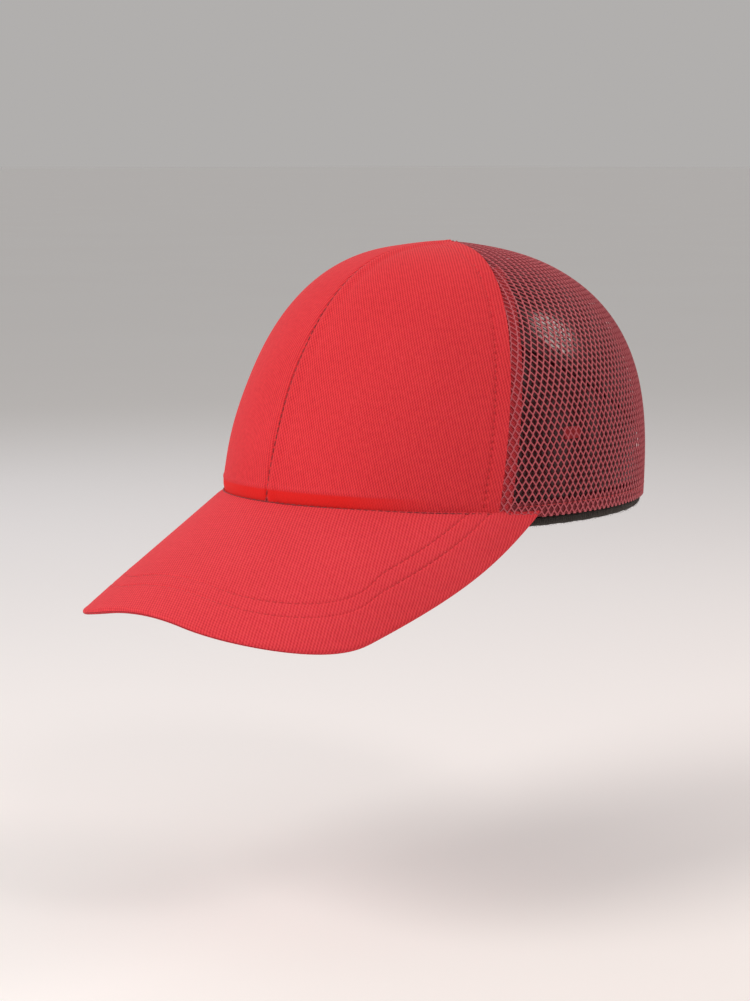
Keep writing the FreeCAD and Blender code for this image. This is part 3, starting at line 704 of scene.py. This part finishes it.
def crown_row(name, points, body="cap", material=red_thread, slot="twill", sink=0.3, **sizes):
    """Row of stitches along points of the crown, given as (angle, height, side)."""
    path = []
    for around, height, side in points:
        here = crown_point(around, height)
        out = here - crown_point(around, height, 2)
        here = here - out.normalized() * sink
        path.append((Vector((here.x * side, here.y, here.z)),
                     Vector((out.x * side, out.y, out.z)).normalized()))
    return sewn_row(name, path, body, material, slot, **sizes)


def at_offset(middle, offset, height):
    """Angle a distance round the crown from a middle angle."""
    return middle + math.degrees(offset / ((CROWN_LENGTH + CROWN_WIDTH) / 2
                                           * crown_reach(middle, height / CROWN_HEIGHT)))


heights = [VISOR_RISE + 1 + (CROWN_HEIGHT - 9 - VISOR_RISE) * step / 60 for step in range(61)]
crown_row("centre_seam_stitches", [(0, height, 1) for height in heights], material=shaded_thread, sink=0.45,
          length=2.7, width=0.6)
rim_angles = [side_seam(0) * (step / 40 - 1) for step in range(81)]
# Stitches where the visor is sewn on, dark, wide and overlapping into a near-continuous line: partly real
# stitching, partly a painted shadow line in the crease between crown and visor.
crown_row("visor_joint_stitches_and_painted_shadow", [(around, VISOR_RISE * math.cos(math.radians(around)) + 0.15, 1)
                                   for around in rim_angles], material=shaded_thread, sink=0.5, length=3.5,
          width=0.7)
for side, word in ((1, "left"), (-1, "right")):
    crown_row("side_topstitch_" + word, [(at_offset(side_seam(height), -FOLD, height), height, side)
                                         for height in heights], sink=0.42, material=red_thread)

# ------------------------------------------------------------------ mesh panels
# The back is warp-knitted polyester mesh, stiff enough to stand, whose holes are hexagons
# drawn tall, nearly diamonds. Its edges are caught under the twill, in the bound opening
# and in a seam at the back.

CELL = 3.65
ROW_STEP = 2.85
WALL = 0.7
STRAND = 0.52
NET_THICK = 0.5
NET_INSET = 0.12
ARCH_RADIUS = 42.0
ARCH_DROP = 4.0
BINDING = 6.0

# The mesh stops inside the binding, which covers its cut edge.
BINDING_COVER = 2.5
SEAM_OVERLAP = 0.6
NET_DIP = 1.5
DIP_SPREAD = 3
NET_REACH = 120

# Dyed polyester: the knitted loops roughen each strand and shine a little at its edges.
net_knit = grained_material("knitted_polyester_mesh", 1400.0, 2.0, "A23B46", "CC626B", 0.5, 0.2,
                            Roughness=0.55, Sheen_Weight=0.3, Sheen_Roughness=0.4,
                            Sheen_Tint=linear("F0686A"))

NET_MIDDLE = 123.0
profile_heights = np.linspace(0, CROWN_HEIGHT - 0.01, 400)
profile = [crown_point(NET_MIDDLE, height) for height in profile_heights]
profile_lengths = lengths_along(profile)
round_angles = np.linspace(0, 240, 481)
round_lengths = lengths_along([crown_point(angle, 0) for angle in round_angles])
middle_length = np.interp(NET_MIDDLE, round_angles, round_lengths)
visor_back = math.degrees(math.acos(BACK_LINE / CROWN_LENGTH))


def net_place(across, along):
    """Angle and height of a place on the flat mesh, kept to the panel's own edges."""
    height = float(np.interp(along, profile_lengths, profile_heights))
    shrink = max(crown_reach(NET_MIDDLE, height / CROWN_HEIGHT), 0.02)
    around = float(np.interp(middle_length + across / shrink, round_lengths, round_angles))
    around = min(max(around, side_seam(height) - SEAM_OVERLAP), 180.0)
    if around < visor_back:
        height = max(height, VISOR_RISE * math.cos(math.radians(around)) + 0.2)
    return around, height


def net_inset(around, height):
    """How far in the mesh lies: it dips with the twill where the side seam meets the visor."""
    above_visor = height - VISOR_RISE * math.cos(math.radians(around))
    near_seam = min(1.0, max(0.0, 1 - (around - side_seam(height)) / DIP_SPREAD))
    return NET_INSET + NET_DIP * near_seam * max(0.0, 1 - above_visor / TUCK) ** 2


def net_kept(around, height):
    """Whether the mesh goes on there, outside the bound opening."""
    point = crown_point(around, height)
    return point.y <= 0 or math.hypot(point.x, height + ARCH_DROP) >= ARCH_RADIUS + BINDING_COVER


# One cell of the mesh: its six corners and the middles between them, each with how far
# out its hole reaches. The hole's corners are rounded.
cell_corners = [(CELL / 2, WALL / 2), (0, ROW_STEP - WALL / 2), (-CELL / 2, WALL / 2),
                (-CELL / 2, -WALL / 2), (0, WALL / 2 - ROW_STEP), (CELL / 2, -WALL / 2)]
hole_share = 1 - STRAND / CELL
cell_line = []
for (across, along), (next_across, next_along) in zip(cell_corners, cell_corners[1:] + cell_corners[:1]):
    cell_line.append((across, along, hole_share * 0.94))
    cell_line.append(((across + next_across) / 2, (along + next_along) / 2, hole_share))


def net_panel(side):
    """Tall hexagons with rounded holes, laid out flat, drawn over the crown and cut to the panel."""
    shape = bmesh.new()
    made = {}

    def vert(across, along):
        key = (round(across, 3), round(along, 3))
        if key not in made:
            around, height = net_place(across, along)
            point = crown_point(around, height, net_inset(around, height))
            point = Vector((point.x * side, point.y, point.z + peak(point)))
            made[key] = shape.verts.new(point * MM)
        return made[key]

    rows = int(profile_lengths[-1] / ROW_STEP) + 1
    reach = int(NET_REACH / CELL)
    for row in range(rows + 1):
        for column in range(-reach, reach + 1):
            middle_x = (column + 0.5 * (row % 2)) * CELL
            middle_y = row * ROW_STEP
            around, height = net_place(middle_x, middle_y)
            shrink = max(crown_reach(NET_MIDDLE, height / CROWN_HEIGHT), 0.02)
            flat_around = float(np.interp(middle_length + middle_x / shrink, round_lengths, round_angles))
            slack = math.degrees(CELL / 100 / shrink)
            if not side_seam(height) - slack < flat_around < 180 + slack or not net_kept(around, height):
                continue
            outer = []
            inner = []
            for across, along, drawn in cell_line:
                outer.append(vert(middle_x + across, max(middle_y + along, 0)))
                inner.append(vert(middle_x + drawn * across, max(middle_y + drawn * along, 0)))
            for corner in range(12):
                after = (corner + 1) % 12
                corners = list(dict.fromkeys([outer[corner], outer[after], inner[after], inner[corner]]))
                if len(corners) > 2:
                    try:
                        shape.faces.new(corners)
                    except ValueError:
                        continue
    bmesh.ops.remove_doubles(shape, verts=shape.verts, dist=5e-5)
    bmesh.ops.dissolve_degenerate(shape, edges=shape.edges, dist=1e-6)
    bmesh.ops.recalc_face_normals(shape, faces=shape.faces)
    mesh = bpy.data.meshes.new("net")
    shape.to_mesh(mesh)
    shape.free()
    outward = sum((Vector(face.center) - crown_middle).dot(face.normal) for face in mesh.polygons)
    if outward < 0:
        mesh.flip_normals()
    word = "left" if side > 0 else "right"
    piece = new_piece("mesh_back_" + word, mesh)
    finish(piece, "cap", net_knit, NET_THICK)
    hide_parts("mesh_panel_" + word)
    return piece


nets = [net_panel(1), net_panel(-1)]

# ------------------------------------------------------------------ seam tapes and back seam
# Woven herringbone tape is sewn over each seam inside, and shows through the mesh. At
# the back the two meshes are folded together into a narrow raised seam.

TAPE = 0.42
TAPE_WIDTH = 13.0
TAPE_INSET = 1.06
TAPE_END = 10.0
HEM_TOP = 6.7
BACK_SEAM_WIDTH = 4.2
BACK_SEAM_RISE = 0.75


def tape_material(name, bright, deep):
    """Herringbone tape: short twill ribs that turn back every 3 mm, in matte polyester."""
    material, tree, shader = new_material(name, Roughness=0.8, Sheen_Weight=0.15)
    split = add_node(tree, "ShaderNodeSeparateXYZ", {0: weave_coordinates(tree)})
    zigzag = add_node(tree, "ShaderNodeMath", {0: split.outputs["X"], 1: 3.0 * MM}, operation="PINGPONG")
    slant = add_node(tree, "ShaderNodeMath", {0: split.outputs["Y"], 1: zigzag.outputs[0]}, operation="ADD")
    joined = add_node(tree, "ShaderNodeCombineXYZ", {"X": slant.outputs[0]})
    ribs = bands(tree, joined.outputs[0], 1.1)
    # Colour follows the rib height, darker in the grooves between ribs: painted shade.
    surface(tree, shader, ribs, deep, bright, ribs, 0.5, 0.2)
    return material


seam_tape = tape_material("herringbone_tape", "E23A45", "AA202C")
# The hem tape is the same tape drawn darker: painted shade low inside the mesh.
shaded_hem_tape = tape_material("herringbone_hem_tape_painted_shade", "8C2832", "68161F")


def taped_seam(name, node, middle_at, low, side=1):
    """Strip of tape inside a seam, slightly hollow between its two sewn edges."""

    def place(i, k):
        height = low + (CROWN_HEIGHT - TAPE_END - low) * k / 90
        offset = TAPE_WIDTH * (i / 10 - 0.5)
        around = at_offset(middle_at(height), offset, height)
        point = crown_point(around, height, TAPE_INSET)
        point.x *= side
        lift = 0.03 * math.sin(height / 2.1 + i)
        return point, (offset, height), lift, 0.0

    piece = sheet_mesh(name, 10, 90, place, crown_middle)
    finish(piece, "cap", seam_tape, TAPE)
    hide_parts(node)
    return piece


taped_seam("tape_front", "seam_tape_front", lambda height: 0, VISOR_RISE / 2)
taped_seam("tape_left", "seam_tape_left", side_seam, VISOR_RISE / 2)
taped_seam("tape_right", "seam_tape_right", side_seam, VISOR_RISE / 2, -1)
taped_seam("tape_back", "seam_tape_back", lambda height: 180, ARCH_RADIUS - ARCH_DROP + BINDING)


def back_seam(i, k):
    """Place on the folded seam up the centre back."""
    height = ARCH_RADIUS - ARCH_DROP + 4 + (CROWN_HEIGHT - ARCH_RADIUS - 6) * (1 - (1 - k / 80) ** 2)
    offset = BACK_SEAM_WIDTH * (i / 12 - 0.5)
    around = at_offset(180, offset, height)
    rise = BACK_SEAM_RISE * max(0.0, 1 - (2 * offset / BACK_SEAM_WIDTH) ** 2) ** 0.5
    rise -= bump_at(offset, 0, 0.35, 0.4)
    point = crown_point(around, height, 0.25)
    return point, (offset, height), rise + peak(point), 0.0


seam_fold = sheet_mesh("back_seam_fold", 12, 80, back_seam, crown_middle)
finish(seam_fold, "cap", net_knit, 0.35)


def mesh_hem(side):
    """Tape that faces the mesh's lower edge inside, from the side seam to the opening."""
    start = side_seam(0) + 4
    end = 180 - math.degrees(math.asin((ARCH_RADIUS + 4) / CROWN_WIDTH))

    def place(i, k):
        around = start + (end - start) * i / 70
        height = 0.2 + (HEM_TOP - 0.2) * k / 6
        point = crown_point(around, height, 0.85)
        point.x *= side
        return point, (around_length(around, 0), height), 0.05 * math.sin(around * 1.7 + k), 0.0

    piece = sheet_mesh("mesh_hem_left" if side > 0 else "mesh_hem_right", 70, 6, place, crown_middle)
    return finish(piece, "cap", shaded_hem_tape, TAPE)


for side, word in ((1, "left"), (-1, "right")):
    mesh_hem(side)
    hem_angles = [side_seam(0) + 6 + step * 0.8 for step in range(98)]
    crown_row("hem_stitches_" + word, [(around, 5.2, side) for around in hem_angles if around < 148],
              sink=0.15, slot="tape")
    crown_row("seam_stitches_back_" + word, [(at_offset(180, 3.2, height), height, side)
                                             for height in heights if height > 46], sink=0.1, slot="tape")

# ------------------------------------------------------------------ binding of the back opening
# A strip of the red twill, cut on the bias, is folded round the edge of the opening and
# sewn through. It puckers a little between the stitches.

binding_twill = twill_material("bias_twill_binding", 45, 1.15, "D83A40", "C42B33", "98202A", "C42B33")


def back_point(sideways, height, inset):
    """Point of the crown's back a distance sideways, the wearer's left being positive."""
    around = 180 - math.degrees(math.asin(sideways / CROWN_WIDTH))
    for _ in range(4):
        reach = crown_reach(around, height / (CROWN_HEIGHT - inset))
        around = 180 - math.degrees(math.asin(sideways / ((CROWN_WIDTH - inset) * reach)))
    return crown_point(around, height, inset)


def rounded(value, power):
    """Value with its sign kept and its size raised to a power, which squares a circle."""
    return math.copysign(abs(value) ** power, value)


def binding_place(i, k):
    """Place on the folded strip: i goes round the opening and k round the fold."""
    middle = ARCH_RADIUS + BINDING / 2
    start = math.asin(ARCH_DROP / middle)
    angle = start + (math.pi - 2 * start) * i / 150
    turn = 2 * math.pi * k / 18
    radius = middle + BINDING / 2 * rounded(math.cos(turn), 0.55)
    inset = 0.5 + 0.98 * rounded(math.sin(turn), 0.8)
    height = max(radius * math.sin(angle) - ARCH_DROP, 0.0)
    along = angle * middle
    pucker = 0.13 * math.cos(2 * math.pi * along / STITCH_PITCH)
    return back_point(radius * math.cos(angle), height, inset), (along, turn * 2.2), pucker, 0.0


binding = sheet_mesh("opening_binding", 150, 18, binding_place, None, wrap=True)
finish(binding, "cap", binding_twill)
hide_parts("rear_binding")

binding_path = []
for step in range(121):
    angle = math.radians(7 + 166 * step / 120)
    sideways = (ARCH_RADIUS + 4.6) * math.cos(angle)
    height = (ARCH_RADIUS + 4.6) * math.sin(angle) - ARCH_DROP
    outer = back_point(sideways, height, -0.42)
    binding_path.append((outer, outer - back_point(sideways, height, 2)))
sewn_row("binding_stitches", binding_path, "cap", red_thread, "tape")

# ------------------------------------------------------------------ bump shell
# The insert's shell is moulded in black ABS from a polished tool; its maroon tint is painted
# reflection of the red cloth round it. It is glossy, with a trace of the waviness of a cooling moulding.

dark_abs, tree, shader = new_material("moulded_abs_gloss", Roughness=0.16, IOR=1.53)
place = add_node(tree, "ShaderNodeTexCoord").outputs["Object"]
flow = add_node(tree, "ShaderNodeTexNoise", {"Vector": place, "Scale": 35.0, "Detail": 2.0})
scuffs = add_node(tree, "ShaderNodeTexNoise", {"Vector": place, "Scale": 420.0, "Detail": 3.0})
# The maroon in these two colours is painted reflection of the red cloth; the plastic itself is black.
surface(tree, shader, flow.outputs["Fac"], "38080E", "4A0D15", flow.outputs["Fac"], 0.25, 0.6)
rough = add_node(tree, "ShaderNodeMapRange", {"Value": scuffs.outputs["Fac"], "To Min": 0.1,
                                              "To Max": 0.24})
tree.links.new(rough.outputs[0], shader.inputs["Roughness"])
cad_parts["insert_shell"].material_slots[0].material = dark_abs

# ------------------------------------------------------------------ snap strap
# Both strap halves and the sewn tab are moulded in soft red polyethylene, a little waxy,
# with a fine spark-eroded grain.

waxy_strap, tree, shader = new_material("moulded_polyethylene_red", Roughness=0.38, IOR=1.51,
                                        Subsurface_Weight=0.08, Subsurface_Scale=0.002)
place = add_node(tree, "ShaderNodeTexCoord").outputs["Object"]
grain = add_node(tree, "ShaderNodeTexNoise", {"Vector": place, "Scale": 1600.0, "Detail": 2.0})
cloudy = add_node(tree, "ShaderNodeTexNoise", {"Vector": place, "Scale": 60.0})
surface(tree, shader, cloudy.outputs["Fac"], "8A1620", "A31F2A", grain.outputs["Fac"], 0.3, 0.1)
for name in ("snap_strap_right", "snap_strap_left", "strap_tab_left"):
    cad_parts[name].material_slots[0].material = waxy_strap

# ------------------------------------------------------------------ sweatband
# A brushed charcoal knit is folded over the shell's lower edge, with a soft roll outside
# that shows below the mesh. Brushing leaves a fuzz of short fibres on it.

BAND_ROUND = 152.0
BAND_COLUMNS = 260
FIBRES = 9000

# The fold's outline, each point an inset from the crown and a height above the rim.
band_section = [(2.3, -0.5), (1.95, -1.3), (2.0, -3.0), (2.7, -4.1), (4.2, -4.5), (6.2, -4.45), (7.8, -3.8),
                (8.5, -2.0), (8.6, 2.0), (8.6, 9.0), (8.6, 17.0), (8.5, 23.0), (8.1, 25.4), (7.5, 25.9),
                (6.95, 25.4), (6.8, 22.0), (6.75, 12.0), (6.75, 2.0), (6.6, -0.2), (5.0, -0.32), (3.4, -0.32)]

charcoal_knit, tree, shader = new_material("brushed_jersey_charcoal", Roughness=0.95, Sheen_Weight=0.25,
                                           Sheen_Roughness=0.6, Sheen_Tint=linear("9A9088"))
wales = bands(tree, weave_coordinates(tree), 1.3, "X", 1.5)
courses = bands(tree, weave_coordinates(tree), 1.0, "Y", 1.5)
loops = add_node(tree, "ShaderNodeMath", {0: wales, 1: courses}, operation="MULTIPLY")
nap = add_node(tree, "ShaderNodeTexNoise", {"Vector": weave_coordinates(tree), "Scale": 1100.0,
                                            "Detail": 3.0})
knit = add_node(tree, "ShaderNodeMath", {0: nap.outputs["Fac"], 1: 0.8, 2: loops.outputs[0]},
                operation="MULTIPLY_ADD")
surface(tree, shader, nap.outputs["Fac"], "13100D", "2A241F", knit.outputs[0], 0.7, 0.4)


def band_place(i, k):
    """Place on the folded knit: i goes round the head and k round the fold."""
    around = BAND_ROUND * (2 * i / BAND_COLUMNS - 1)
    inset, height = band_section[k % len(band_section)]
    point = crown_point(around, height, inset)
    soft = 0.1 * math.sin(around * 0.9 + k) + 0.08 * math.sin(around * 2.3 + 2 * k)
    return point, (around_length(around, 0), 3.0 * k), soft if height < 24 else 0.5 * soft, 0.0


sweatband = sheet_mesh("sweatband_knit", BAND_COLUMNS, len(band_section), band_place, None, wrap=True)
finish(sweatband, "insert", charcoal_knit)
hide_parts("sweatband")

random.seed(7)
fuzz_points = []
fuzz_faces = []
fuzz_rows = [(2.2, -0.55), (1.95, -1.3), (2.0, -2.2), (2.0, -3.0), (2.7, -4.1), (4.2, -4.5)]
for _ in range(FIBRES):
    around = random.uniform(-BAND_ROUND, BAND_ROUND)
    inset, height = random.choice(fuzz_rows)
    root = crown_point(around, height + random.uniform(-0.5, 0.3), inset)
    out = (root - crown_point(around, height, inset + 2)).normalized()
    lean = Vector([random.uniform(-1, 1) for _ in range(3)])
    away = (out + lean * 0.8 + Vector((0, 0, 0.3 if height > -2 else -0.2))).normalized()
    tip = root + away * random.uniform(0.3, 0.8)
    width = out.cross(lean).normalized() * 0.05
    first = len(fuzz_points)
    fuzz_points += [(root + width) * MM, (root - width) * MM, tip * MM]
    fuzz_faces.append((first, first + 1, first + 2))
fuzz_mesh = bpy.data.meshes.new("sweatband_fuzz")
fuzz_mesh.from_pydata(fuzz_points, [], fuzz_faces)
fuzz = new_piece("sweatband_fuzz", fuzz_mesh)
fuzz_fibre = grained_material("brushed_fibres", 300.0, 2.0, "1C1815", "403932", Roughness=1.0)
finish(fuzz, "insert", fuzz_fibre)

# ------------------------------------------------------------------ foam pads
# Closed-cell EVA foam is die-cut and glued inside the shell. Each pad swells softly
# between its pressed edges.

PAD_SWELL = 1.0 * MM
PAD_VOXEL = 2.2 * MM
PAD_SHRINK = 0.7 * MM
PAD_PRESSURE = 4.0
CLOTH_STEPS = 14
eva_foam, tree, shader = new_material("eva_foam", Roughness=0.9, Specular_IOR_Level=0.3)
place = add_node(tree, "ShaderNodeTexCoord").outputs["Object"]
cells = add_node(tree, "ShaderNodeTexVoronoi", {"Vector": place, "Scale": 900.0})
skin = add_node(tree, "ShaderNodeTexNoise", {"Vector": place, "Scale": 120.0, "Detail": 3.0})
surface(tree, shader, skin.outputs["Fac"], "26262A", "3A3A40", cells.outputs["Distance"], 0.5, 0.3)


def foam_pad(node):
    """Pad drawn from its CAD solid: shrunk, remeshed, blown up a little as cloth and smoothed."""
    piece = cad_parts[node].copy()
    piece.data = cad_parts[node].data.copy()
    piece.parent = None
    piece.matrix_world = Matrix.Identity(4)
    piece.name = "foam_" + node
    piece.data.materials.clear()
    bpy.context.collection.objects.link(piece)
    apply_modifier(piece, "WELD", merge_threshold=1e-5)
    apply_modifier(piece, "REMESH", mode="VOXEL", voxel_size=PAD_VOXEL)
    apply_modifier(piece, "DISPLACE", strength=-PAD_SHRINK, mid_level=0.0)
    before = [vert.co.copy() for vert in piece.data.vertices]
    swell = piece.modifiers.new("swell", "CLOTH")
    swell.settings.use_pressure = True
    swell.settings.uniform_pressure_force = PAD_PRESSURE
    swell.settings.effector_weights.gravity = 0.0
    swell.point_cache.frame_end = CLOTH_STEPS
    for step in range(1, CLOTH_STEPS + 1):
        bpy.context.scene.frame_set(step)
    blown = piece.evaluated_get(bpy.context.evaluated_depsgraph_get()).data
    after = [vert.co.copy() for vert in blown.vertices]
    piece.modifiers.remove(swell)
    bpy.context.scene.frame_set(1)
    for vert, old, new in zip(piece.data.vertices, before, after):
        move = new - old
        vert.co = old + move * min(1.0, PAD_SWELL / max(move.length, 1e-9))
    apply_modifier(piece, "SMOOTH", factor=0.5, iterations=3)
    apply_modifier(piece, "SUBSURF", levels=1, render_levels=1)
    finish(piece, "insert", eva_foam)
    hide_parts(node)
    return piece


for node in ("front_pad", "side_pad_left", "side_pad_right", "rear_pad", "crown_pad"):
    foam_pad(node)

# ------------------------------------------------------------------ patches and label
# Two round patches of hook and loop tape hold the insert up under the top. A small red
# woven label is sewn on the shell's side, blank here.


def patch(name, node, colour, dark, cell):
    """Round patch cut from hook or loop tape, with a heat-cut edge."""
    low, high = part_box(node)
    middle = (low + high) / 2
    bpy.ops.mesh.primitive_circle_add(vertices=72, radius=(high.x - low.x) / 2, fill_type="NGON",
                                      location=(middle.x, middle.y, low.z))
    piece = bpy.context.object
    piece.name = name
    bpy.ops.object.mode_set(mode="EDIT")
    bpy.ops.mesh.extrude_region_move(TRANSFORM_OT_translate={"value": (0, 0, high.z - low.z)})
    bpy.ops.mesh.inset(thickness=0.0008)
    bpy.ops.mesh.select_all(action="SELECT")
    bpy.ops.mesh.normals_make_consistent(inside=False)
    bpy.ops.object.mode_set(mode="OBJECT")
    bpy.ops.object.transform_apply(location=True, rotation=True, scale=True)
    apply_modifier(piece, "BEVEL", width=0.2 * MM, segments=2)
    material, tree, shader = new_material(name + "_tape", Roughness=0.9, Sheen_Weight=0.3)
    place = add_node(tree, "ShaderNodeTexCoord").outputs["Object"]
    pile = add_node(tree, "ShaderNodeTexVoronoi", {"Vector": place, "Scale": 1 / (cell * MM)})
    surface(tree, shader, pile.outputs["Distance"], colour, dark, pile.outputs["Distance"], 0.9, 0.5)
    finish(piece, "cap" if node.startswith("crown") else "insert", material)
    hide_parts(node)


patch("loop_patch", "crown_loop_patch", "2A2A2E", "141416", 0.8)
patch("hook_patch", "shell_hook_patch", "232327", "0E0E10", 1.4)


LABEL_LONG = 10.0
LABEL_HIGH = 5.5
LABEL_UP = 36.0


def label_place(i, k):
    """Place on the blank label, on the shell's left side."""
    offset = LABEL_LONG * (i / 20 - 0.5)
    height = LABEL_UP + LABEL_HIGH * (k / 12 - 0.5)
    around = at_offset(90, offset, height)
    edge_near = min(i, 20 - i, k, 12 - k)
    return crown_point(around, height, 3.85), (offset, height), 0.06 if edge_near == 1 else 0.0, 0.0


label_weave = tape_material("woven_label", "C9202E", "94121F")
label = sheet_mesh("blank_label", 20, 12, label_place, crown_middle)
finish(label, "insert", label_weave, 0.25)
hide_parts("size_label")
